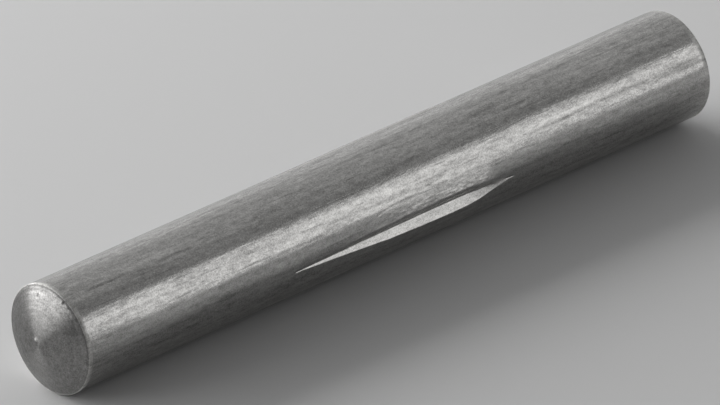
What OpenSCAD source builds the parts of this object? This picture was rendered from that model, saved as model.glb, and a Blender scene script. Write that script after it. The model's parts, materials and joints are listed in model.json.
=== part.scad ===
// Centre-grooved pin with domed ends.
// A drawn steel shank whose middle third carries three pressed V grooves.
// The steel that each groove pushed aside stands up beside it as two low
// crests, which grip the bore that the pin is driven into. The plain ends on
// either side of the grooves carry the parts that the pin joins.
// The pin lies along X with its centre at the origin, and +Z is up.

/* [Shank] */
// Diameter of the plain shank
pin_d = 8; // [5:0.5:16]
// Overall length over both domed ends
pin_l = 60; // [40:1:120]
// Height of the spherical dome at each end
dome_h = 1.1; // [0.6:0.1:2]
// How far the broken edge between shank and dome reaches in from the shank
edge_w = 0.1; // [0.05:0.01:0.3]
// Length of the broken edge along the pin
edge_l = 0.2; // [0.1:0.02:0.5]

/* [Grooves] */
// Number of grooves, evenly spaced round the pin
groove_n = 3; // [2:1:4]
// Length of a groove from tip to tip
groove_l = 19.6; // [14:0.2:30]
// Depth of a groove below the shank at its deepest place
groove_depth = 0.35; // [0.2:0.01:0.6]
// Angle between the two flanks of the V
groove_angle = 120; // [90:5:130]
// Length of the run-out, from the deepest place to the far tip
run_out_l = 5; // [3:0.5:7]
// Direction in which the first groove faces, round the pin from +Y
first_groove = 184.5; // [0:0.5:360]

/* [Raised metal] */
// Height of the crown of raised metal that each V is pressed into
crown_h = 0.05; // [0.04:0.01:0.25]
// Width of the crown across a groove and both its crests
crown_w = 3.8; // [3:0.1:4.4]

/* [Hidden] */
steel = "#8f8e8b";
$fn = 128;
pin_r = pin_d / 2;
shank_end = pin_l / 2 - dome_h - edge_l;
dome_foot_r = pin_r - edge_w;
dome_r = (pow(dome_foot_r, 2) + pow(dome_h, 2)) / (2 * dome_h);
tip_x = groove_l / 2;
deepest_x = tip_x - run_out_l;
// Length over which the groove deepens, from the near tip
fall_l = groove_l - run_out_l;
// The crown's section is an arc that stands on a chord of the shank
crown_rise = pin_r + crown_h - sqrt(pow(pin_r, 2) - pow(crown_w / 2, 2));
crown_r = (pow(crown_w / 2, 2) + pow(crown_rise, 2)) / (2 * crown_rise);
// How far the V tool reaches past the surface that it cuts
reach = 1;
// The middle is slimmer by a hair, so that each plain end is a journal of its own
relief = 0.02;
middle_r = pin_r - relief;
// Plain length of the middle past the groove tips, and its seat inside the ends
land = 0.7;
seat = 1;
journal_x = tip_x + land;
// Facets across a crown, an odd number so that the V starts inside one of them
crown_n = 9;
// Facets between two crowns, and rings along the middle
gap_n = 36 / groove_n;
ring_n = 20;

// A groove's tool follows a long arc from the near tip to the deepest place, and
// a short one from there out to the far tip. The crown's top line does the same.
// Radius of an arc that is h deep at one end and meets the shank l away
function arc_r(l, h) = (pow(l, 2) + pow(h, 2)) / (2 * h);
// Height of the path over the shank's top line at x, for one that peaks at h
function path_z(x, h) =
    let (r = arc_r(x < deepest_x ? fall_l : run_out_l, h))
    h - r + sqrt(pow(r, 2) - pow(x - deepest_x, 2));

// Distance from the pin's axis to a crown whose top line is z over the shank
function crown_at(z, angle) =
    let (c = pin_r + z - crown_r)
    c * cos(angle) + sqrt(pow(crown_r, 2) - pow(c * sin(angle), 2));
// Half of the angle that such a crown covers, never quite closed at the tips
function crown_half_angle(z) =
    let (c = pin_r + z - crown_r, cosine = (pow(pin_r, 2) + pow(c, 2) - pow(crown_r, 2)) / (2 * pin_r * c))
    max(2, cosine < 1 ? acos(cosine) : 0);

// One ring of points round the middle of the pin at x
function ring(x) =
    let (z = path_z(x, crown_h), half = crown_half_angle(z), gap = 360 / groove_n - 2 * half)
    [for (i = [0 : groove_n - 1], k = [0 : crown_n + gap_n - 1])
        let (
            on_crown = k <= crown_n,
            angle = on_crown ? half * (2 * k / crown_n - 1) : half + gap * (k - crown_n) / gap_n,
            r = on_crown && abs(x) < tip_x ? max(middle_r, crown_at(z, angle)) : middle_r,
            turn = angle + first_groove + i * 360 / groove_n
        )
        [x, r * cos(turn), r * sin(turn)]];

// One plain end of the pin: shank, broken edge and dome
module plain_end() {
    rotate([0, 90, 0]) rotate_extrude() {
        translate([0, journal_x]) square([pin_r, shank_end - journal_x]);
        intersection() {
            translate([0, pin_l / 2 - dome_r]) circle(dome_r);
            polygon([
                [0, shank_end], [pin_r, shank_end],
                [pin_r - 4 * edge_w, shank_end + 4 * edge_l], [0, pin_l / 2 + dome_h]
            ]);
        }
    }
}

// Middle of the pin with its crowns of raised metal, lofted ring by ring
module crowned_middle() {
    across = groove_n * (crown_n + gap_n);
    // rings close up towards the tips, where the crowns narrow fastest
    points = [for (i = [0 : ring_n]) each ring(-(journal_x + seat) * cos(180 * i / ring_n))];
    sides = [for (i = [0 : ring_n - 1], k = [0 : across - 1])
        let (a = i * across + k, b = i * across + (k + 1) % across)
        each [[a, b + across, b], [a, a + across, b + across]]];
    near_cap = [for (k = [0 : across - 1]) k];
    far_cap = [for (k = [across - 1 : -1 : 0]) ring_n * across + k];
    polyhedron(points, concat([near_cap, far_cap], sides));
}

// Part of a V wheel, from the deepest place of a groove past its tip, l away
module half_wheel(l) {
    r = arc_r(l, groove_depth);
    lift_off = acos((r - groove_depth - reach / 2) / r);
    v_h = groove_depth + reach;
    v_w = v_h * tan(groove_angle / 2);
    translate([0, 0, pin_r - groove_depth + r]) rotate([90, 0, 0]) rotate([0, 0, -90])
        rotate_extrude(angle = lift_off) polygon([[r - v_h, -v_w], [r, 0], [r - v_h, v_w]]);
}

// V tool that presses one groove, for a groove that faces +Z
module groove_tool() {
    translate([deepest_x, 0, 0]) {
        half_wheel(run_out_l);
        mirror([1, 0, 0]) half_wheel(fall_l);
    }
}

module grooved_pin() {
    color(steel) difference() {
        union() {
            plain_end();
            mirror([1, 0, 0]) plain_end();
            crowned_middle();
        }
        for (i = [0 : groove_n - 1])
            rotate([first_groove - 90 + i * 360 / groove_n, 0, 0]) groove_tool();
    }
}

grooved_pin();
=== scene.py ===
"""A drawn steel grooved pin with domed ends, on a pale studio floor.

The pin is one piece. Its blank is a half profile that is spun round the X axis,
and three V grooves with their crowns of raised metal are then pressed into the
middle third. Angles round the pin run from +Y over +Z. Lengths in this file are
millimetres until they reach a mesh, a light panel or the camera, where they are
multiplied by MM.
"""

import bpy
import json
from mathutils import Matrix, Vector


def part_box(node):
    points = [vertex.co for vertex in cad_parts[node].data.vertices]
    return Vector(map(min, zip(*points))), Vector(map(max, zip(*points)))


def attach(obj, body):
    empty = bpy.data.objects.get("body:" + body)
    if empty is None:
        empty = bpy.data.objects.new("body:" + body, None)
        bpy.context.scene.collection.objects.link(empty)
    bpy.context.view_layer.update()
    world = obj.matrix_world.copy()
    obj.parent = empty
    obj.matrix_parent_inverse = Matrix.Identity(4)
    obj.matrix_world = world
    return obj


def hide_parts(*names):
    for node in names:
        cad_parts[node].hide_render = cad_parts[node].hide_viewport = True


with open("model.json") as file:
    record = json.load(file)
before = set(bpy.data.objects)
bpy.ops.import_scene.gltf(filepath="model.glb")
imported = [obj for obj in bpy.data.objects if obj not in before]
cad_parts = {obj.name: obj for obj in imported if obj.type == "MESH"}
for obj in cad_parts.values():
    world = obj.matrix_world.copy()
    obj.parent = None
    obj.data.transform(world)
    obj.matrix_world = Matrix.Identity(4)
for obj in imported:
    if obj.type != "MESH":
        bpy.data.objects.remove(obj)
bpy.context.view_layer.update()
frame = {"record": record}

import json
import logging
import math
from collections.abc import Sequence
from dataclasses import dataclass, replace
from enum import Enum

import bmesh
import bpy
import numpy as np
from bmesh.types import BMesh, BMVert
from bpy.types import Material, Mesh, Node, NodeSocket, NodeTree, Object
from mathutils import Vector, noise

MM = 0.001
# Points that are closer together than this count as one
TOUCH = 1e-4
# What a finish reads: texture nodes and numbers stored on the mesh, by their names
Textures = dict[str, Node]
Masks = dict[str, NodeSocket]
log = logging.getLogger("grooved_pin")


# ---------------------------------------------------------------- sizes


@dataclass(frozen=True)
class Shank:
    """Plain drawn bar between two domed ends.

    Attributes:
        radius: Radius of the bar.
        half_length: Half of the length over both domes.
        dome_height: Height of a dome over its foot.
        edge_width: How far the broken edge reaches in from the shank.
        edge_radius: Radius of the rounding on that edge.
    """

    radius: float
    half_length: float
    dome_height: float = 1.1
    edge_width: float = 0.1
    edge_radius: float = 0.1

    @property
    def dome_radius(self) -> float:
        """Radius of the ball that each dome is part of."""
        foot = self.radius - self.edge_width
        return (foot**2 + self.dome_height**2) / (2 * self.dome_height)

    @property
    def dome_centre(self) -> float:
        """Distance of the dome's ball from the middle of the pin."""
        return self.half_length - self.dome_radius

    @property
    def edge_centre(self) -> float:
        """Distance of the rounded edge's own centre from the middle."""
        reach = self.dome_radius - self.edge_radius
        return self.dome_centre + math.sqrt(reach**2 - (self.radius - self.edge_radius) ** 2)

    @property
    def dome_angle(self) -> float:
        """Angle, at the ball's centre, from the top of the dome to the edge."""
        return math.atan2(self.radius - self.edge_radius, self.edge_centre - self.dome_centre)


@dataclass(frozen=True)
class Pressing:
    """The three grooves and the metal that they push up.

    A groove has an upper side, at lesser angles than its middle, and a lower
    one.

    Attributes:
        count: Number of grooves, evenly spaced.
        first: Angle of the first groove.
        tip: Distance of a groove's tips from the middle of the pin.
        run_out: Length from a groove's deepest place to its far tip.
        land: How far past the tips the close rows of the mesh go on.
        depth: Depth at the deepest place.
        lower_flank: Angle between the lower flank and the line that halves the V.
        upper_flank: The same for the upper flank.
        crest_heights: How high the metal beside each groove would stand over
            the groove's middle, if the V didn't cut it away.
        crest_reach: How far the raised metal reaches from a groove's middle.
        crest_spread: How fast it widens with the groove, up to that reach.
        blunt_start: Distance before the far tip at which the raised metal
            above a groove starts to end.
        blunt_end: Distance before the far tip at which it has ended.
        foot_dip: Depth of the faint dip at the foot of the raised metal.
        foot_dip_width: Width of that dip.
        foot_dip_start: Place along the pin at which the dip starts to end.
        foot_dip_end: Place along the pin at which it has ended.
        foot_dip_wander: How far it wanders with the waves, in radians.
        upper_lip_round: Rounding of the lip above a groove.
        lower_lip_round: Rounding of the lip below it.
        wave_height: Height of the long waves in the flanks and crests.
        wave_opening: Depth of the groove from which its flanks wave fully.
        ripple_height: Height of the short ripples in the crests.
        ripple_lift: Height of the raised metal from which it ripples fully.
        upper_painted_light: How much more than the lower flank the upper one is rubbed and painted lighter,
            as painted light on its shade.
        lower_rub_width: How far the V has risen over the metal below a groove
            where the rubbing and the painted light of that side end.
        upper_rub_width: The same for the metal above it.
        rub_depth: How far below the lips the rubbing and the painted light are full.
    """

    count: int = 3
    first: float = math.radians(184.5)
    tip: float = 9.8
    run_out: float = 5.0
    land: float = 0.7
    depth: float = 0.35
    lower_flank: float = math.radians(60)
    upper_flank: float = math.radians(56)
    crest_heights: Sequence[float] = (0.40, 0.20, 0.08)
    crest_reach: float = 1.75
    crest_spread: float = 2.6
    blunt_start: float = 2.6
    blunt_end: float = 0.9
    foot_dip: float = 0.006
    foot_dip_width: float = 0.09
    foot_dip_start: float = 0.5
    foot_dip_end: float = 2.5
    foot_dip_wander: float = 0.02
    upper_lip_round: float = 0.18
    lower_lip_round: float = 0.012
    wave_height: float = 0.010
    wave_opening: float = 0.1
    ripple_height: float = 0.017
    ripple_lift: float = 0.1
    upper_painted_light: float = 3.2
    lower_rub_width: float = 0.01
    upper_rub_width: float = 0.09
    rub_depth: float = 0.02

    def path(self, x: np.ndarray, height: float) -> np.ndarray:
        """Height of the tool's path: a long arc in, and a short one out.

        Args:
            x: Places along the pin.
            height: Height of the path where it is deepest.

        Returns:
            The height at each place, negative past the tips.
        """
        deepest = self.tip - self.run_out
        reach = np.where(x < deepest, self.tip + deepest, self.run_out)
        arc = (reach**2 + height**2) / (2 * height)
        return height - arc + np.sqrt(np.maximum(arc**2 - (x - deepest) ** 2, 0.0))


@dataclass(frozen=True)
class Ridge:
    """A ring on a dome, or a furrow where its height is negative."""

    radius: float
    height: float
    width: float


@dataclass(frozen=True)
class Turning:
    """What the turning and parting tools leave on the two domes.

    Attributes:
        ridges: Rings round the axis.
        pip_y: Place of the parting pip along Y.
        pip_z: Its place along Z.
        pip_height: Height of the pip.
        pip_width: Width of the pip.
        dish_depth: Depth of the dish round the pip.
        dish_width: Width of that dish.
        cut: How far the domes are turned down under the ridges.
        cut_start: Distance in from the shank at which that cut starts.
        cut_full: Distance in from the shank at which it is full.
    """

    ridges: Sequence[Ridge] = (
        Ridge(2.45, 0.014, 0.10),
        Ridge(1.5, 0.005, 0.12),
        Ridge(3.1, 0.006, 0.10),
        Ridge(3.62, -0.02, 0.09),
    )
    pip_y: float = 0.21
    pip_z: float = 0.28
    pip_height: float = 0.10
    pip_width: float = 0.15
    dish_depth: float = 0.015
    dish_width: float = 0.36
    cut: float = 0.02
    cut_start: float = 0.2
    cut_full: float = 0.5


# ---------------------------------------------------------------- marks


class MarkKind(Enum):
    """What a small mark does to the surface."""

    PIT = "pit"
    BURR = "burr"


@dataclass(frozen=True)
class Mark:
    """One small mark, at x along the pin and at an angle in degrees round it.

    Its length lies along the pin and its width across, each from its middle.
    """

    kind: MarkKind
    x: float
    angle: float
    length: float
    width: float
    depth: float


# Nicks on the near dome and its rim, marks beside the front groove and at its
# far tip, then long faint scratches, stains and bright specks on the shank
MARKS = (
    Mark(MarkKind.PIT, -29.2, 75, 0.16, 0.13, 0.04),
    Mark(MarkKind.PIT, -28.95, 114, 0.14, 0.15, 0.05),
    Mark(MarkKind.BURR, -28.95, 119, 0.12, 0.15, 0.03),
    Mark(MarkKind.PIT, -28.95, 183.5, 0.12, 0.12, 0.03),
    Mark(MarkKind.PIT, -28.3, 99.5, 0.34, 0.20, 0.02),
    Mark(MarkKind.BURR, -2.4, 159, 0.14, 0.11, 0.02),
    Mark(MarkKind.PIT, -3.0, 180, 0.20, 0.10, 0.04),
    Mark(MarkKind.PIT, 2.4, 155, 0.24, 0.08, 0.02),
    Mark(MarkKind.BURR, 7.0, 182.5, 0.7, 0.12, 0.10),
    Mark(MarkKind.BURR, 8.6, 183, 0.7, 0.14, 0.08),
    Mark(MarkKind.PIT, 7.85, 183, 0.07, 0.10, 0.03),
    Mark(MarkKind.PIT, 15.0, 149, 3.6, 0.16, 0.018),
    Mark(MarkKind.PIT, 21.0, 148, 3.0, 0.14, 0.014),
    Mark(MarkKind.PIT, 26.5, 147, 2.8, 0.14, 0.016),
    Mark(MarkKind.PIT, 25.0, 150.5, 4.5, 0.45, 0.015),
    Mark(MarkKind.PIT, 1.5, 155.5, 0.9, 0.14, 0.018),
    Mark(MarkKind.PIT, -26.0, 113.5, 2.4, 0.15, 0.008),
    Mark(MarkKind.PIT, -18.5, 116, 2.6, 0.15, 0.012),
    Mark(MarkKind.PIT, 2.0, 107.5, 0.8, 0.28, 0.010),
    Mark(MarkKind.PIT, 10.0, 107, 1.9, 0.28, 0.010),
    Mark(MarkKind.PIT, 16.0, 108.5, 1.0, 0.28, 0.010),
    Mark(MarkKind.BURR, -24.5, 152, 0.40, 0.20, 0.012),
    Mark(MarkKind.BURR, -23.5, 158.5, 0.50, 0.18, 0.012),
)


# ---------------------------------------------------------------- shaping


def smooth_step(value: np.ndarray, start: float | np.ndarray, end: float | np.ndarray) -> np.ndarray:
    """Rises smoothly from 0 at start to 1 at end, or falls where end is less."""
    t = np.clip((value - start) / (end - start), 0.0, 1.0)
    return t * t * (3 - 2 * t)


def smooth_min(a: np.ndarray, b: np.ndarray, width: np.ndarray) -> np.ndarray:
    """The lesser of two heights, with the corner between them rounded over width."""
    h = np.clip(0.5 + 0.5 * (b - a) / width, 0.0, 1.0)
    return b * (1 - h) + a * h - width * h * (1 - h)


def bump(distance: np.ndarray, height: float, width: float) -> np.ndarray:
    """A smooth bump of the given height that falls away over its width."""
    return height * np.exp(-((distance / width) ** 2))


def waviness(points: np.ndarray, seed: float) -> np.ndarray:
    """Smooth noise from -1 to 1 at each point, different for each seed."""
    shift = Vector((seed, seed * 1.7, seed * 0.3))
    return np.array([noise.noise(Vector(p) + shift) for p in points])


def read_points(mesh: Mesh) -> np.ndarray:
    """The mesh's vertices, one row each."""
    co = np.zeros(len(mesh.vertices) * 3, np.float32)
    mesh.vertices.foreach_get("co", co)
    return co.reshape(-1, 3).astype(float)


def read_normals(mesh: Mesh) -> np.ndarray:
    """The normals at the mesh's vertices, one row each."""
    normals = np.zeros(len(mesh.vertices) * 3, np.float32)
    mesh.vertex_normals.foreach_get("vector", normals)
    return normals.reshape(-1, 3)


def write_points(mesh: Mesh, co: np.ndarray) -> None:
    """Moves the mesh's vertices to the rows of co."""
    mesh.vertices.foreach_set("co", co.astype(np.float32).ravel())
    mesh.update()


def store(mesh: Mesh, name: str, values: np.ndarray) -> None:
    """Keeps one number per vertex on the mesh, for its finish to read."""
    attribute = mesh.attributes.new(name, "FLOAT", "POINT")
    attribute.data.foreach_set("value", values.astype(np.float32))


# ---------------------------------------------------------------- the pin


@dataclass(frozen=True)
class Spots:
    """Many places on the pin, each as seen from the groove nearest to it.

    Attributes:
        x: How far along the pin each place lies.
        middle: Angle of its groove's middle.
        side: -1 above the groove's middle and 1 below it.
        away: Angle between the place and the groove's middle.
        crest: How high the metal beside its groove would stand over the
            groove's middle, if the V didn't cut it away.
    """

    x: np.ndarray
    middle: np.ndarray
    side: np.ndarray
    away: np.ndarray
    crest: np.ndarray

    @property
    def turn(self) -> np.ndarray:
        """Angles of the places round the pin."""
        return self.middle + self.side * self.away


@dataclass
class GroovedPin:
    """The pin's blank, its pressed grooves, its turned ends and its marks.

    Attributes:
        shank: Sizes of the bar and its domes.
        pressing: Sizes of the grooves.
        turning: Sizes of the tool marks on the domes.
        marks: Small damage all over.
        columns: Faces of the mesh round the pin.
        near_dome_rows: Rows of faces on the near dome.
        far_dome_rows: Rows on the far dome.
        edge_rows: Rows on each rounded edge.
        near_rows: Rows on the near part of the shank.
        middle_rows: Rows along the grooves.
        far_rows: Rows on the far part of the shank.
        margin: How far past the tips of the grooves the metal is disturbed.
        settling: How far past the tips the columns still lean.
        lip_stops: Columns, counted from a groove's middle, and the share of the
            way to its lip that each slides to.
        top_stop: The column that slides to the top of the crest.
        foot_stop: The column that slides to the foot of the raised metal.
        last_stop: The column that slides to a little way past that foot.
    """

    shank: Shank
    pressing: Pressing
    turning: Turning
    marks: Sequence[Mark]
    columns: int = 288
    near_dome_rows: int = 44
    far_dome_rows: int = 18
    edge_rows: int = 5
    near_rows: int = 62
    middle_rows: int = 160
    far_rows: int = 44
    margin: float = 0.4
    settling: float = 5.0
    lip_stops: Sequence[tuple[int, float]] = (
        (0, 0.0), (1, 0.05), (2, 0.12), (10, 0.90), (11, 0.96), (12, 1.02), (13, 1.09),
    )
    top_stop: int = 15
    foot_stop: int = 32
    last_stop: int = 35

    def build(self) -> Object:
        """Makes the whole pin.

        Returns:
            The pin's object, at the origin, with its place in its mesh.
        """
        bm = bmesh.new()
        self._half_profile(bm)
        bmesh.ops.spin(
            bm,
            geom=bm.verts[:] + bm.edges[:],
            cent=(0, 0, 0),
            axis=(1, 0, 0),
            angle=math.tau,
            steps=self.columns,
            use_merge=True,
        )
        bmesh.ops.remove_doubles(bm, verts=bm.verts, dist=TOUCH)
        bmesh.ops.recalc_face_normals(bm, faces=bm.faces)
        mesh = bpy.data.meshes.new("drawn_pin")
        bm.to_mesh(mesh)
        bm.free()
        pin = bpy.data.objects.new("drawn_pin", mesh)
        bpy.context.scene.collection.objects.link(pin)
        self._press(mesh)
        self._turn_ends(mesh)
        self._mark(mesh)
        self._scale(mesh)
        return pin

    # -- blank

    def _half_profile(self, bm: BMesh) -> None:
        """Draws half of the pin's outline in the XZ plane, from dome top to dome top.

        Args:
            bm: The mesh that the outline is added to.
        """
        s = self.shank
        edge_turn = math.pi / 2 - s.dome_angle
        edge_z = s.radius - s.edge_radius
        land = self.pressing.tip + self.pressing.land
        top = bmesh.ops.create_vert(bm, co=(-s.half_length, 0, 0))["vert"][0]
        v = self._arc(bm, top, (-s.dome_centre, 0, 0), s.dome_angle, self.near_dome_rows)
        v = self._arc(bm, v, (-s.edge_centre, 0, edge_z), edge_turn, self.edge_rows)
        v = self._straight(bm, v, -land, self.near_rows)
        v = self._straight(bm, v, land, self.middle_rows)
        v = self._straight(bm, v, s.edge_centre, self.far_rows)
        v = self._arc(bm, v, (s.edge_centre, 0, edge_z), edge_turn, self.edge_rows)
        self._arc(bm, v, (s.dome_centre, 0, 0), s.dome_angle, self.far_dome_rows)

    @staticmethod
    def _arc(bm: BMesh, start: BMVert, centre: Sequence[float], angle: float, steps: int) -> BMVert:
        """Draws an arc in the XZ plane.

        Args:
            bm: The mesh that the arc is added to.
            start: The vertex that it starts from.
            centre: Its centre.
            angle: How far it turns round the Y axis.
            steps: Number of its edges.

        Returns:
            Its last vertex.
        """
        turned = bmesh.ops.spin(bm, geom=[start], cent=centre, axis=(0, 1, 0), angle=angle, steps=steps)
        return next(g for g in turned["geom_last"] if isinstance(g, BMVert))

    @staticmethod
    def _straight(bm: BMesh, start: BMVert, end_x: float, rows: int) -> BMVert:
        """Draws a straight line along X.

        Args:
            bm: The mesh that the line is added to.
            start: The vertex that it starts from.
            end_x: Where it ends.
            rows: Number of its edges.

        Returns:
            Its last vertex.
        """
        drawn = bmesh.ops.extrude_vert_indiv(bm, verts=[start])
        drawn["verts"][0].co.x = end_x
        bmesh.ops.subdivide_edges(bm, edges=drawn["edges"], cuts=rows - 1)
        return max(bm.verts, key=lambda v: v.co.x)

    # -- grooves

    def _nearest_groove(self, x: np.ndarray, turn: np.ndarray) -> Spots:
        """Sees each place from the groove that is nearest to it.

        Args:
            x: Places along the pin.
            turn: Their angles round it.

        Returns:
            The places.
        """
        p = self.pressing
        sector = math.tau / p.count
        past_edge = turn - p.first + sector / 2
        number = np.floor(past_edge / sector).astype(int) % p.count
        away = past_edge % sector - sector / 2
        return Spots(x, turn - away, np.sign(away), np.abs(away), np.array(p.crest_heights)[number])

    def _raised(self, spots: Spots) -> tuple[np.ndarray, np.ndarray]:
        """How much metal stands up at each place along the pin, and how wide.

        It widens with the groove. Above the groove and past its deepest place,
        it keeps its width and ends bluntly before the far tip.

        Args:
            spots: The places.

        Returns:
            The share of its full height, from 0 to 1, and its reach from the
            groove's middle.
        """
        p, x = self.pressing, spots.x
        narrowest = 0.05
        share = np.clip(p.path(x, p.depth) / p.depth, 0.0, 1.0)
        reach = np.clip(p.crest_spread * share**2, narrowest, p.crest_reach)
        blunt = (spots.side < 0) & (x > p.tip - p.run_out)
        height = np.where(blunt, smooth_step(x, p.tip - p.blunt_end, p.tip - p.blunt_start), share**3)
        return height, np.where(blunt, p.crest_reach, reach)

    def _crown(self, spots: Spots) -> np.ndarray:
        """Distance from the axis to the shank or to the raised metal on it.

        The raised metal climbs from the shank towards the groove ever more
        steeply, and most where the groove is deepest.

        Args:
            spots: The places.

        Returns:
            The distances.
        """
        r = self.shank.radius
        share, reach = self._raised(spots)
        slope = np.clip(1 - r * spots.away / reach, 0.0, 1.0)
        return r + spots.crest * share * slope**2

    def _foot(self, spots: Spots) -> np.ndarray:
        """Depth of the faint dip where the raised metal meets the shank.

        Args:
            spots: The places.

        Returns:
            The depths.
        """
        p = self.pressing
        share, reach = self._raised(spots)
        across = (self.shank.radius * spots.away - reach) / p.foot_dip_width
        low, high = 0.05, 0.2
        grown = smooth_step(share, low, high) * smooth_step(spots.x, p.foot_dip_end, p.foot_dip_start)
        return p.foot_dip * grown * np.exp(-(across**2))

    def _vee(self, spots: Spots) -> np.ndarray:
        """Distance from the axis to the V of the groove.

        Args:
            spots: The places.

        Returns:
            The distances, which grow large where the V has run off the pin.
        """
        p, r = self.pressing, self.shank.radius
        flank = np.where(spots.side < 0, p.upper_flank, p.lower_flank)
        open_up = np.cos(spots.away) - np.abs(np.sin(spots.away)) / np.tan(flank)
        least = 0.05
        return (r - p.path(spots.x, p.depth)) / np.maximum(open_up, least)

    def _lip(self, spots: Spots) -> np.ndarray:
        """Finds the lip, where the V meets the raised metal, by halving.

        Args:
            spots: The places.

        Returns:
            The angle from the groove's middle to its lip, on each place's side.
        """
        widest, halvings = math.radians(25), 22
        low, high = np.zeros_like(spots.x), np.full_like(spots.x, widest)
        for _ in range(halvings):
            tried = replace(spots, away=(low + high) / 2)
            inside = self._vee(tried) < self._crown(tried)
            low, high = np.where(inside, tried.away, low), np.where(inside, high, tried.away)
        return low

    def _follow(self, spots: Spots) -> Spots:
        """Slides the columns, so that they run along the lips and crests of the grooves.

        Args:
            spots: The places of the vertices on the blank.

        Returns:
            Their new places.
        """
        p = self.pressing
        least_lip, to_top, to_foot, past_foot = (math.radians(angle) for angle in (2, 2.5, 2, 3))
        lip = np.maximum(self._lip(spots), least_lip)
        top = lip + to_top
        foot = np.maximum(self._raised(spots)[1] / self.shank.radius, top + to_foot)
        stops = [(stop, share * lip) for stop, share in self.lip_stops]
        stops += [(self.top_stop, top), (self.foot_stop, foot), (self.last_stop, foot + past_foot)]
        stops += [(self.columns / (2 * p.count), math.tau / p.count / 2)]
        column = spots.away / (math.tau / self.columns)
        slack = 1e-6
        followed = spots.away
        for (start, start_angle), (end, end_angle) in zip(stops, stops[1:]):
            part = (column >= start - slack) & (column <= end + slack)
            share = (column - start) / (end - start)
            followed = np.where(part, start_angle + (end_angle - start_angle) * share, followed)
        near = smooth_step(np.abs(spots.x), p.tip + self.settling, p.tip + self.margin)
        return replace(spots, away=spots.away + (followed - spots.away) * near)

    def _waves(self, spots: Spots) -> tuple[np.ndarray, np.ndarray]:
        """Long waves along each side of a groove, and short ripples in its crests.

        Args:
            spots: The places.

        Returns:
            The waves and the ripples, each from -1 to 1, and 0 away from the grooves.
        """
        x = spots.x
        near = np.abs(x) < self.pressing.tip + self.margin
        # each groove and each side lies elsewhere in the noise, so no two are alike
        groove, side = spots.middle * 9, spots.side * 3
        wave_rate, ripple_rate, ripple_rate_across = 0.9, 4.0, 26
        wave_at = np.stack([x * wave_rate, groove, side], 1)
        ripple_at = np.stack([x * ripple_rate, groove, spots.away * ripple_rate_across], 1)
        wave, ripple = np.zeros_like(x), np.zeros_like(x)
        wave[near] = waviness(wave_at[near], seed=4.0)
        ripple[near] = waviness(ripple_at[near], seed=9.0)
        return wave, ripple

    def _press(self, mesh: Mesh) -> None:
        """Slides the columns to follow the grooves, then presses the grooves.

        Args:
            mesh: The spun blank, in millimetres.
        """
        p, r = self.pressing, self.shank.radius
        co = read_points(mesh)
        x, radius, turn = co[:, 0], np.hypot(co[:, 1], co[:, 2]), np.arctan2(co[:, 2], co[:, 1])
        spots = self._follow(self._nearest_groove(x, turn))
        on_shank = radius > r - TOUCH
        turn = np.where(on_shank, spots.turn, turn)
        wave, ripple = self._waves(spots)
        crown = self._crown(spots)
        lifted = np.clip((crown - r) / p.ripple_lift, 0.0, 1.0)
        dip = self._foot(replace(spots, away=spots.away + p.foot_dip_wander * wave))
        # only the highest crest has a dip at its foot
        dip = dip * (spots.crest == max(p.crest_heights))
        crown = crown + lifted * (p.ripple_height * ripple + p.wave_height * wave) - dip
        opened = smooth_step(p.path(x, p.depth), 0.0, p.wave_opening)
        vee = self._vee(spots) + p.wave_height * wave * opened
        upper, near = spots.side < 0, np.abs(x) < p.tip + self.margin
        lip_round = np.where(upper, p.upper_lip_round, p.lower_lip_round)
        pressed = np.where(near, smooth_min(vee, crown, lip_round), r)
        radius = np.where(on_shank, pressed, radius)
        co[:, 1], co[:, 2] = radius * np.cos(turn), radius * np.sin(turn)
        write_points(mesh, co)
        rub_width = np.where(upper, p.upper_rub_width, p.lower_rub_width)
        # the flank mask makes the flanks rougher, and also paints them lighter: a painted highlight on the
        # lower flank, painted light on the shaded upper one
        rubbed_and_painted_light = smooth_step(vee - crown, rub_width, -p.rub_depth) * np.where(upper, p.upper_painted_light, 1.0)
        store(mesh, "flank", np.where(on_shank & (np.abs(x) < p.tip), rubbed_and_painted_light, 0.0))
        self._wear_and_highlight_edges(mesh, x, radius)

    # -- ends

    def _wear_and_highlight_edges(self, mesh: Mesh, x: np.ndarray, radius: np.ndarray) -> None:
        """Stores where the metal is worn and where a painted highlight lies: on the rounded edges, and not
        elsewhere.

        Args:
            mesh: The pressed pin, in millimetres.
            x: Its vertices' places along the pin.
            radius: Their distances from the axis.
        """
        s = self.shank
        shank_start, shank_full = s.edge_centre - 0.06, s.edge_centre + 0.02
        dome_start, dome_full = s.radius - 0.16, s.radius - 0.10
        # this mask makes the edges rougher as real wear, and paints them lighter as a painted highlight along
        # the rims
        wear_and_highlight = smooth_step(np.abs(x), shank_start, shank_full) * smooth_step(radius, dome_start, dome_full)
        store(mesh, "edge", wear_and_highlight)

    def _turn_ends(self, mesh: Mesh) -> None:
        """Leaves a tool's ridges and a parting pip on the two domes.

        Args:
            mesh: The pressed pin, in millimetres.
        """
        s, t = self.shank, self.turning
        co = read_points(mesh)
        x, radius = co[:, 0], np.hypot(co[:, 1], co[:, 2])
        domed = np.abs(x) > s.dome_centre + s.dome_radius * math.cos(s.dome_angle)
        self._finish_domes(mesh, domed)
        lift = np.zeros_like(x)
        for ridge in t.ridges:
            lift += bump(radius - ridge.radius, ridge.height, ridge.width)
        pip = np.hypot(co[:, 1] - t.pip_y, co[:, 2] - t.pip_z)
        lift += bump(pip, t.pip_height, t.pip_width) - bump(pip, t.dish_depth, t.dish_width)
        inward = smooth_step(radius, s.radius - t.cut_start, s.radius - t.cut_full)
        co[:, 0] -= np.where(domed, np.sign(x) * (t.cut - lift), 0.0) * inward
        write_points(mesh, co)

    @staticmethod
    def _finish_domes(mesh: Mesh, domed: np.ndarray) -> None:
        """Gives the faces whose corners all lie on a dome the second finish."""
        for face in mesh.polygons:
            face.material_index = int(all(domed[v] for v in face.vertices))

    # -- marks

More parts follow.
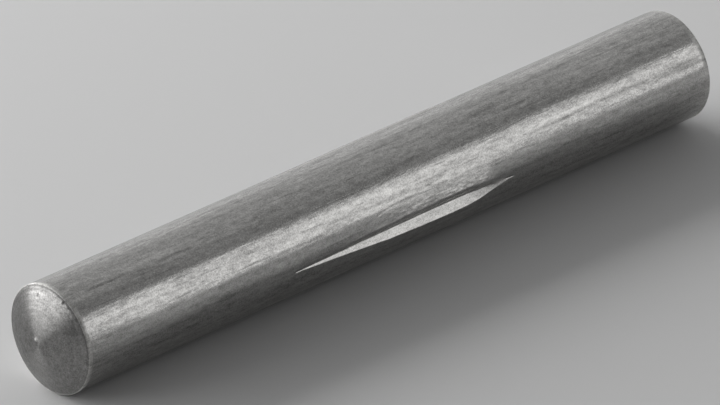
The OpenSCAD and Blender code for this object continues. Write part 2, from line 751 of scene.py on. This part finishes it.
    @staticmethod
    def _spread(mark: Mark, co: np.ndarray, normals: np.ndarray) -> np.ndarray:
        """How far each vertex lies from a mark's middle, in the mark's own sizes.

        Args:
            mark: The mark.
            co: The vertices.
            normals: Their normals.

        Returns:
            The squares of the distances, 1 at the end of its length or width.
        """
        turn = math.radians(mark.angle)
        away = np.array([0, math.cos(turn), math.sin(turn)])
        across = np.array([0, -math.sin(turn), math.cos(turn)])
        far_side = 10.0
        aside = np.abs(co @ across) + far_side * (co @ away < 0)
        nearest = np.argmin((co[:, 0] - mark.x) ** 2 + aside**2)
        centre = away * np.hypot(co[nearest, 1], co[nearest, 2]) + np.array([mark.x, 0, 0])
        out = normals[nearest]
        along = np.cross(across, out)
        rel = co - centre
        square = ((rel @ along) / mark.length) ** 2 + ((rel @ across) / mark.width) ** 2
        # what lies more than a millimetre below the mark is another side of the pin
        lowest, unreached = -1.0, 99.0
        return np.where(rel @ out > lowest, square, unreached)

    def _mark(self, mesh: Mesh) -> None:
        """Presses the marks into the surface along its normals, and stains it.

        A pit has a low rim and darkens the metal, and a burr brightens it. Marks
        that are shallower than full_stain_depth stain it less.

        Args:
            mesh: The turned pin, in millimetres.
        """
        full_stain_depth = 0.02
        rim_height, rim_place = 0.3, 1.25
        bowl_steepness, rim_steepness = 2, 6
        co, normals = read_points(mesh), read_normals(mesh)
        shift, scar = np.zeros(len(co)), np.zeros(len(co))
        for mark in self.marks:
            square = self._spread(mark, co, normals)
            bowl = np.exp(-bowl_steepness * square)
            rim = np.exp(-rim_steepness * (np.sqrt(square) - rim_place) ** 2)
            stain = min(1.0, mark.depth / full_stain_depth)
            if mark.kind is MarkKind.BURR:
                shift += mark.depth * bowl
                scar -= stain * bowl
            else:
                shift += mark.depth * (rim_height * rim - bowl)
                scar += stain * bowl
        co += normals * shift[:, None]
        write_points(mesh, co)
        store(mesh, "scar", scar)

    @staticmethod
    def _scale(mesh: Mesh) -> None:
        """Turns the mesh's millimetres into metres and smooths its shading."""
        write_points(mesh, read_points(mesh) * MM)
        mesh.shade_smooth()
        mesh.update()


# ---------------------------------------------------------------- shader nodes


def add_node(tree: NodeTree, kind: str, **values: object) -> Node:
    """Adds a node and sets its inputs and properties.

    Args:
        tree: The node tree.
        kind: The node's type name.
        **values: in_ and an input's number or name sets that input to a value,
            or links a socket to it, and None leaves it alone. Any other name is
            a property of the node.

    Returns:
        The new node.
    """
    node = tree.nodes.new(kind)
    for name, value in values.items():
        if not name.startswith("in_"):
            setattr(node, name, value)
    for name, value in values.items():
        if name.startswith("in_"):
            key = name[3:]
            socket = node.inputs[int(key)] if key.isdigit() else node.inputs[key.replace("_", " ")]
            if isinstance(value, NodeSocket):
                tree.links.new(value, socket)
            elif value is not None:
                socket.default_value = value
    return node


def add_maths(tree: NodeTree, operation: str, *values: float | NodeSocket) -> NodeSocket:
    """Adds a Math node that works on the values in order, and returns its result."""
    inputs = {f"in_{i}": value for i, value in enumerate(values)}
    return add_node(tree, "ShaderNodeMath", operation=operation, **inputs).outputs[0]


def add_noise(
    tree: NodeTree, where: NodeSocket, scale: float | NodeSocket, detail: float, roughness: float = 0.5
) -> NodeSocket:
    """Adds smooth noise.

    Args:
        tree: The node tree.
        where: The coordinates that it reads.
        scale: How fine it is.
        detail: How many finer layers are laid over it.
        roughness: How strong those layers are.

    Returns:
        The noise, from 0 to 1.
    """
    made = add_node(
        tree, "ShaderNodeTexNoise", in_Vector=where, in_Scale=scale, in_Detail=detail, in_Roughness=roughness
    )
    return made.outputs[0]


def add_range(
    tree: NodeTree,
    value: NodeSocket,
    start: float,
    end: float,
    low: float = 0.0,
    high: float = 1.0,
    smooth: bool = False,
) -> NodeSocket:
    """Adds a step that turns one range into another and stops at its ends.

    Args:
        tree: The node tree.
        value: What is turned.
        start: The value that becomes low.
        end: The value that becomes high.
        low: The result at start.
        high: The result at end.
        smooth: Whether the ends of the step are eased.

    Returns:
        The result.
    """
    kind = "SMOOTHSTEP" if smooth else "LINEAR"
    made = add_node(
        tree, "ShaderNodeMapRange", interpolation_type=kind, in_0=value, in_1=start, in_2=end,
        in_3=low, in_4=high,
    )
    return made.outputs[0]


def draw_out(
    tree: NodeTree, where: NodeSocket, along: float, shift: tuple = (0.0, 0.0, 0.0)
) -> NodeSocket:
    """Squeezes coordinates along X, so that a pattern on them is drawn out along the pin.

    Args:
        tree: The node tree.
        where: The coordinates.
        along: The factor along X.
        shift: How far they are moved.

    Returns:
        The new coordinates.
    """
    made = add_node(tree, "ShaderNodeMapping", in_Vector=where, in_Location=shift, in_Scale=(along, 1, 1))
    return made.outputs[0]


@dataclass(frozen=True)
class Socket:
    """One input or output of a node group."""

    name: str
    kind: str = "NodeSocketFloat"
    default: float = 0.0


VECTOR = "NodeSocketVector"


def new_group(
    name: str, inputs: Sequence[Socket], outputs: Sequence[Socket]
) -> tuple[NodeTree, Node, Node]:
    """Makes an empty node group.

    Args:
        name: The group's name.
        inputs: Its inputs.
        outputs: Its outputs.

    Returns:
        The group, its input node and its output node.
    """
    tree = bpy.data.node_groups.new(name, "ShaderNodeTree")
    for way, sockets in (("INPUT", inputs), ("OUTPUT", outputs)):
        for s in sockets:
            made = tree.interface.new_socket(name=s.name, in_out=way, socket_type=s.kind)
            if s.kind == "NodeSocketFloat" and way == "INPUT":
                made.default_value = s.default
    return tree, tree.nodes.new("NodeGroupInput"), tree.nodes.new("NodeGroupOutput")


# ---------------------------------------------------------------- finish


def draw_lines_group() -> NodeTree:
    """Lines along the pin from the drawing die: a height, and a mask of dark streaks."""
    tree, given, put = new_group(
        "draw_lines",
        [Socket("Vector", VECTOR), Socket("Fine", default=9000), Socket("Broad", default=4200)],
        [Socket("Height"), Socket("Streak")],
    )
    here = given.outputs["Vector"]
    hairs = draw_out(tree, here, along=0.02)
    bands = draw_out(tree, here, along=0.045, shift=(0.3, 0.1, 0.2))
    fine = add_noise(tree, hairs, given.outputs["Fine"], detail=3.0)
    broad = add_noise(tree, bands, given.outputs["Broad"], detail=3.0)
    streak = add_range(tree, broad, start=0.60, end=0.74)
    tree.links.new(add_maths(tree, "SUBTRACT", fine, streak), put.inputs["Height"])
    tree.links.new(streak, put.inputs["Streak"])
    return tree


def mottle_group() -> NodeTree:
    """Short patches of brighter and duller metal, on wider and longer clouds of both."""
    tree, given, put = new_group(
        "mottle",
        [Socket("Vector", VECTOR), Socket("Size", default=3800), Socket("Drawn", default=0.35)],
        [Socket("Height"), Socket("Patch")],
    )
    here = given.outputs["Vector"]
    scale = add_node(tree, "ShaderNodeCombineXYZ", in_0=given.outputs["Drawn"], in_1=1.0, in_2=1.0)
    drawn = add_node(
        tree, "ShaderNodeVectorMath", operation="MULTIPLY", in_0=here, in_1=scale.outputs[0]
    ).outputs[0]
    patch = add_noise(tree, drawn, given.outputs["Size"], detail=4.0, roughness=0.62)
    cloud = add_noise(tree, draw_out(tree, drawn, along=0.2), scale=2000, detail=2.0)
    cloud_share = 0.7
    clouded = add_maths(tree, "MULTIPLY_ADD", cloud, cloud_share, patch)
    tree.links.new(patch, put.inputs["Height"])
    tree.links.new(add_maths(tree, "SUBTRACT", clouded, cloud_share / 2), put.inputs["Patch"])
    return tree


def grain_group() -> NodeTree:
    """Fine grain, the same in every direction."""
    tree, given, put = new_group(
        "grain", [Socket("Vector", VECTOR), Socket("Size", default=9000)], [Socket("Height"), Socket("Speck")]
    )
    speck = add_noise(tree, given.outputs["Vector"], given.outputs["Size"], detail=2.0, roughness=0.7)
    for name in ("Height", "Speck"):
        tree.links.new(speck, put.inputs[name])
    return tree


def turning_group() -> NodeTree:
    """Rings that a turning tool leaves round the X axis, not quite even all the way round."""
    tree, given, put = new_group(
        "turning_rings",
        [Socket("Vector", VECTOR), Socket("Pitch", default=6500)],
        [Socket("Height"), Socket("Ring")],
    )
    here, unevenness = given.outputs["Vector"], 0.06
    flat = add_node(tree, "ShaderNodeVectorMath", operation="MULTIPLY", in_0=here, in_1=(0, 1, 1))
    radius = add_node(tree, "ShaderNodeVectorMath", operation="LENGTH", in_0=flat.outputs[0])
    across = add_node(tree, "ShaderNodeVectorMath", operation="SCALE", in_0=here, in_Scale=unevenness)
    place = add_node(tree, "ShaderNodeCombineXYZ", in_0=radius.outputs["Value"])
    moved = add_node(
        tree, "ShaderNodeVectorMath", operation="ADD", in_0=place.outputs[0], in_1=across.outputs[0]
    )
    ring = add_noise(tree, moved.outputs[0], given.outputs["Pitch"], detail=2.0)
    for name in ("Height", "Ring"):
        tree.links.new(ring, put.inputs[name])
    return tree


@dataclass(frozen=True)
class SteelFinish:
    """How bright, how rough and how marked one stretch of the steel is.

    The metal's tone runs from 0, dark, to 1, light. Each texture moves it away
    from the middle by its own share, and each lays its own relief.

    Attributes:
        name: The material's name.
        dark: Colour of the metal at tone 0.
        light: Its colour at tone 1.
        roughness: Roughness of the plain metal.
        flank_roughness: Roughness of the grooves' flanks.
        rough_spread: How much rougher the dullest patch is than the brightest.
        patches: Share of the patches in the tone.
        specks: Share of the grain.
        streaks: How much the drawn streaks darken it.
        rings: Share of the turned rings.
        scars: How much the pits darken it and the burrs brighten it.
        wear_and_highlight: How much brighter the worn edges are painted, partly as wear and partly as a
            painted highlight along the rims.
        worn_roughness: How much rougher the worn edges are.
        pressed: How much brighter the flanks are painted: a painted highlight on the lower flanks, and
            painted light on the shaded upper ones.
        patch_relief: Height of the patches, in metres, as the other reliefs are.
        speck_relief: Height of the grain.
        line_relief: Height of the drawn lines.
        ring_relief: Height of the turned rings.
        turned: How far the rings stretch a reflection across them.
    """

    name: str
    dark: tuple = (0.20, 0.198, 0.193)
    light: tuple = (0.68, 0.674, 0.658)
    roughness: float = 0.20
    flank_roughness: float = 0.24
    rough_spread: float = 0.10
    patches: float = 1.0
    specks: float = 1.25
    streaks: float = 0.3
    rings: float = 0.0
    scars: float = 0.45
    wear_and_highlight: float = 0.30
    worn_roughness: float = 0.60
    pressed: float = 0.15
    patch_relief: float = 9e-6
    speck_relief: float = 2e-6
    line_relief: float = 3e-6
    ring_relief: float = 0.0
    turned: float = 0.0

    def make(self, groups: dict[str, NodeTree]) -> Material:
        """Makes the material.

        Args:
            groups: The shared node groups by name.

        Returns:
            The material.
        """
        material = bpy.data.materials.new(self.name)
        material.use_nodes = True
        tree = material.node_tree
        tree.nodes.clear()
        here = add_node(tree, "ShaderNodeTexCoord").outputs["Object"]
        textures = {
            name: add_node(tree, "ShaderNodeGroup", node_tree=group, in_0=here)
            for name, group in groups.items()
        }
        masks = {
            name: add_node(tree, "ShaderNodeAttribute", attribute_name=name).outputs["Fac"]
            for name in ("scar", "edge", "flank")
        }
        steel = add_node(
            tree,
            "ShaderNodeBsdfPrincipled",
            in_Base_Color=self._colour(tree, textures, masks),
            in_Metallic=1.0,
            in_Roughness=self._roughness(tree, textures, masks),
            in_Normal=self._relief(tree, textures),
            in_Anisotropic=self.turned,
            in_Anisotropic_Rotation=0.25,
        )
        if self.turned:
            round_x = add_node(tree, "ShaderNodeTangent", direction_type="RADIAL", axis="X")
            tree.links.new(round_x.outputs[0], steel.inputs["Tangent"])
        add_node(tree, "ShaderNodeOutputMaterial", in_0=steel.outputs[0])
        return material

    def _colour(self, tree: NodeTree, textures: Textures, masks: Masks) -> NodeSocket:
        """Mixes the dark and the light metal by the tone of all the textures.

        Args:
            tree: The material's node tree.
            textures: The texture groups by name.
            masks: The numbers stored on the mesh by name.

        Returns:
            The colour.
        """
        # the patches, grain and rings have a mean of a half, which this takes off again
        tone = 0.5 - self.patches / 2 - self.specks / 2 - self.rings / 2
        for share, socket in (
            (self.patches, textures["mottle"].outputs["Patch"]),
            (self.specks, textures["grain"].outputs["Speck"]),
            (self.rings, textures["turning_rings"].outputs["Ring"]),
            (-self.streaks, textures["draw_lines"].outputs["Streak"]),
            (-self.scars, masks["scar"]),
            # the edge share is partly wear and partly a painted highlight along the rims
            (self.wear_and_highlight, masks["edge"]),
            # the flank share is painted light: a painted highlight on the lower flanks and lifted shade on
            # the upper ones
            (self.pressed, masks["flank"]),
        ):
            if share:
                tone = add_maths(tree, "MULTIPLY_ADD", socket, share, tone)
        mixed = add_node(
            tree,
            "ShaderNodeMix",
            data_type="RGBA",
            clamp_factor=True,
            in_0=tone,
            in_6=(*self.dark, 1),
            in_7=(*self.light, 1),
        )
        return mixed.outputs[2]

    def _roughness(self, tree: NodeTree, textures: Textures, masks: Masks) -> NodeSocket:
        """Makes duller patches, the worn edges and the pressed flanks rougher.

        Args:
            tree: The material's node tree.
            textures: The texture groups by name.
            masks: The numbers stored on the mesh by name.

        Returns:
            The roughness.
        """
        half = self.rough_spread / 2
        rough = add_range(
            tree,
            textures["mottle"].outputs["Patch"],
            start=0.3,
            end=0.7,
            low=self.roughness + half,
            high=self.roughness - half,
        )
        pressed = add_node(
            tree, "ShaderNodeMix", data_type="FLOAT", in_0=masks["flank"], in_2=rough,
            in_3=self.flank_roughness,
        )
        return add_maths(tree, "MULTIPLY_ADD", masks["edge"], self.worn_roughness, pressed.outputs[0])

    def _relief(self, tree: NodeTree, textures: Textures) -> NodeSocket | None:
        """Lays the height of each texture on the one before it.

        Args:
            tree: The material's node tree.
            textures: The texture groups by name.

        Returns:
            The normal, or None where no texture has a height.
        """
        normal = None
        for height, name in (
            (self.line_relief, "draw_lines"),
            (self.patch_relief, "mottle"),
            (self.speck_relief, "grain"),
            (self.ring_relief, "turning_rings"),
        ):
            if height:
                relief = add_node(
                    tree, "ShaderNodeBump", in_Height=textures[name].outputs["Height"], in_Distance=height
                )
                if normal:
                    tree.links.new(normal, relief.inputs["Normal"])
                normal = relief.outputs[0]
        return normal


# ---------------------------------------------------------------- studio


@dataclass(frozen=True)
class Panel:
    """A soft light panel that faces the pin.

    Attributes:
        name: The panel's name.
        azimuth: Degrees from +X towards +Y at which it stands.
        elevation: Degrees above the floor at which it hangs.
        width: Degrees that it covers sideways, seen from the pin.
        height: Degrees that it covers upwards.
        strength: How bright it is.
        fade: Share of its height over which its light fades out downwards.
        distance: How far from the pin it is.
    """

    name: str
    azimuth: float
    elevation: float
    width: float
    height: float
    strength: float
    fade: float = 0.0
    distance: float = 600.0

    def build(self) -> Object:
        """Makes the panel as a glowing plane that the camera doesn't see.

        Returns:
            The panel's object.
        """
        bm = bmesh.new()
        bmesh.ops.create_grid(bm, x_segments=1, y_segments=1, size=0.5)
        wide = 2 * self.distance * math.tan(math.radians(self.width / 2)) * MM
        tall = 2 * self.distance * math.tan(math.radians(self.height / 2)) * MM
        bmesh.ops.scale(bm, vec=(wide, tall, 1), verts=bm.verts)
        mesh = bpy.data.meshes.new(self.name)
        bm.to_mesh(mesh)
        bm.free()
        panel = bpy.data.objects.new(self.name, mesh)
        bpy.context.scene.collection.objects.link(panel)
        az, el = math.radians(self.azimuth), math.radians(self.elevation)
        away = Vector((math.cos(el) * math.cos(az), math.cos(el) * math.sin(az), math.sin(el)))
        panel.location = away * self.distance * MM
        panel.rotation_euler = away.to_track_quat("Z", "Y").to_euler()
        panel.data.materials.append(self._glow(tall))
        panel.visible_camera = False
        return panel

    def _glow(self, tall: float) -> Material:
        """Makes the panel's light, which may fade towards its lower edge.

        Args:
            tall: Height of the panel, in metres.

        Returns:
            The material.
        """
        material = bpy.data.materials.new(self.name)
        material.use_nodes = True
        tree = material.node_tree
        tree.nodes.clear()
        here = add_node(tree, "ShaderNodeTexCoord").outputs["Object"]
        upwards = add_node(tree, "ShaderNodeSeparateXYZ", in_0=here).outputs[1]
        # a panel that doesn't fade has full light from its foot up
        foot, least = -tall / 2, 1e-6
        lowest = 0.0 if self.fade else 1.0
        top = foot + max(self.fade * tall, least)
        level = add_range(tree, upwards, start=foot, end=top, low=lowest, smooth=True)
        power = add_maths(tree, "MULTIPLY", level, self.strength)
        glow = add_node(tree, "ShaderNodeEmission", in_0=(1, 1, 1, 1), in_1=power)
        add_node(tree, "ShaderNodeOutputMaterial", in_0=glow.outputs[0])
        return material


@dataclass(frozen=True)
class Studio:
    """Floor, light panels, room and camera.

    Attributes:
        floor_z: Height of the floor.
        floor_size: Length of its sides.
        floor_colour: Its colour.
        view_azimuth: Degrees from -Y towards +X at which the camera stands.
        view_elevation: Degrees above the floor at which it looks down.
        distance: How far from the middle of the pin it stands.
        lens: Its focal length.
        sensor: Width of its sensor.
        aim_right: How far to the right of the pin's middle it aims.
        aim_up: How far above the pin's middle it aims.
        bright_side: The way from the pin to the brighter side of the room.
        panels: The light panels.
    """

    floor_z: float
    floor_size: float = 4000.0
    floor_colour: tuple = (0.70, 0.70, 0.70)
    view_azimuth: float = -42.49
    view_elevation: float = 28.95
    distance: float = 854.0
    lens: float = 622.5
    sensor: float = 36.0
    aim_right: float = -0.45
    aim_up: float = -0.22
    bright_side: tuple = (0.8, 0.6, 0.0)
    panels: Sequence[Panel] = (
        Panel("key_panel", -45, 18.5, 32, 43, 1.1, fade=0.23),
        Panel("back_panel", 100, 22, 44, 34, 7.0, distance=420),
        Panel("back_left_panel", 138, 14, 62, 32, 3.7),
    )

    def build(self) -> None:
        """Builds everything round the pin, and reports each piece."""
        for piece in (self._floor(), *(panel.build() for panel in self.panels)):
            log.info("%s is in place", piece.name)
        self._room()
        self._camera()

    def _floor(self) -> Object:
        """Makes the floor, a flat matt sheet.

        Returns:
            The floor's object.
        """
        bm = bmesh.new()
        bmesh.ops.create_grid(bm, x_segments=1, y_segments=1, size=self.floor_size / 2 * MM)
        bmesh.ops.translate(bm, vec=(0, 0, self.floor_z * MM), verts=bm.verts)
        mesh = bpy.data.meshes.new("floor")
        bm.to_mesh(mesh)
        bm.free()
        sheet = bpy.data.objects.new("floor", mesh)
        bpy.context.scene.collection.objects.link(sheet)
        material = bpy.data.materials.new("floor")
        material.use_nodes = True
        shader = material.node_tree.nodes["Principled BSDF"]
        shader.inputs["Base Color"].default_value = (*self.floor_colour, 1)
        shader.inputs["Roughness"].default_value = 0.9
        shader.inputs["Specular IOR Level"].default_value = 0.1
        mesh.materials.append(material)
        return sheet

    def _room(self) -> None:
        """Lights the room evenly and a little more low down, with one side dark."""
        world = bpy.data.worlds.new("room")
        bpy.context.scene.world = world
        world.use_nodes = True
        tree = world.node_tree
        tree.nodes.clear()
        way = add_node(tree, "ShaderNodeTexCoord").outputs["Generated"]
        height = add_node(tree, "ShaderNodeSeparateXYZ", in_0=way).outputs[2]
        towards = add_node(
            tree, "ShaderNodeVectorMath", operation="DOT_PRODUCT", in_0=way, in_1=self.bright_side
        )
        facing = towards.outputs["Value"]
        side = add_range(tree, facing, start=-0.3, end=0.75, low=0.03, high=0.48, smooth=True)
        lower = add_range(tree, height, start=0.2, end=0.65, low=1.5, high=1.0, smooth=True)
        level = add_maths(tree, "MULTIPLY", side, lower)
        light = add_node(tree, "ShaderNodeBackground", in_0=(1, 1, 1, 1), in_1=level)
        add_node(tree, "ShaderNodeOutputWorld", in_0=light.outputs[0])

    def _camera(self) -> None:
        """Places a long-lens camera that looks down on the near end."""
        az, el = math.radians(self.view_azimuth), math.radians(self.view_elevation)
        back = Vector((math.sin(az) * math.cos(el), -math.cos(az) * math.cos(el), math.sin(el)))
        right = Vector((math.cos(az), math.sin(az), 0))
        up = back.cross(right)
        aim = right * self.aim_right + up * self.aim_up
        data = bpy.data.cameras.new("camera")
        data.lens, data.sensor_width = self.lens, self.sensor
        camera = bpy.data.objects.new("camera", data)
        bpy.context.scene.collection.objects.link(camera)
        camera.location = (aim + back * self.distance) * MM
        camera.rotation_euler = back.to_track_quat("Z", "Y").to_euler()
        bpy.context.scene.camera = camera


def main() -> None:
    """Builds the pin and its studio, and reports each piece."""
    logging.basicConfig(level=logging.INFO, format="%(name)s: %(message)s")
    low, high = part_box("grooved_pin")
    journal = next(m for m in frame["record"]["mounts"] if m["name"] == "near_journal")
    shank = Shank(radius=journal["dims"]["r_mm"], half_length=high.x / MM)
    pin = GroovedPin(shank, Pressing(), Turning(), MARKS).build()
    groups = {
        "draw_lines": draw_lines_group(),
        "mottle": mottle_group(),
        "grain": grain_group(),
        "turning_rings": turning_group(),
    }
    drawn_steel = SteelFinish("drawn_steel")
    # the domes' darker colours are painted shade standing in for dark surroundings that they reflect; the
    # rings and the stretched reflection are their real turned finish
    turned_steel_painted_shade = SteelFinish(
        "turned_steel_painted_shade",
        dark=(0.08, 0.079, 0.077),
        light=(0.40, 0.396, 0.388),
        roughness=0.40,
        patches=0.5,
        streaks=0.0,
        rings=0.3,
        line_relief=0.0,
        ring_relief=3e-6,
        turned=0.74,
    )
    for finish in (drawn_steel, turned_steel_painted_shade):
        pin.data.materials.append(finish.make(groups))
    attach(pin, "root")
    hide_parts("grooved_pin")
    log.info("%s has %d faces", pin.name, len(pin.data.polygons))
    bpy.context.scene.view_settings.view_transform = "Standard"
    Studio(floor_z=low.z / MM).build()


if __name__ == "__main__":
    main()
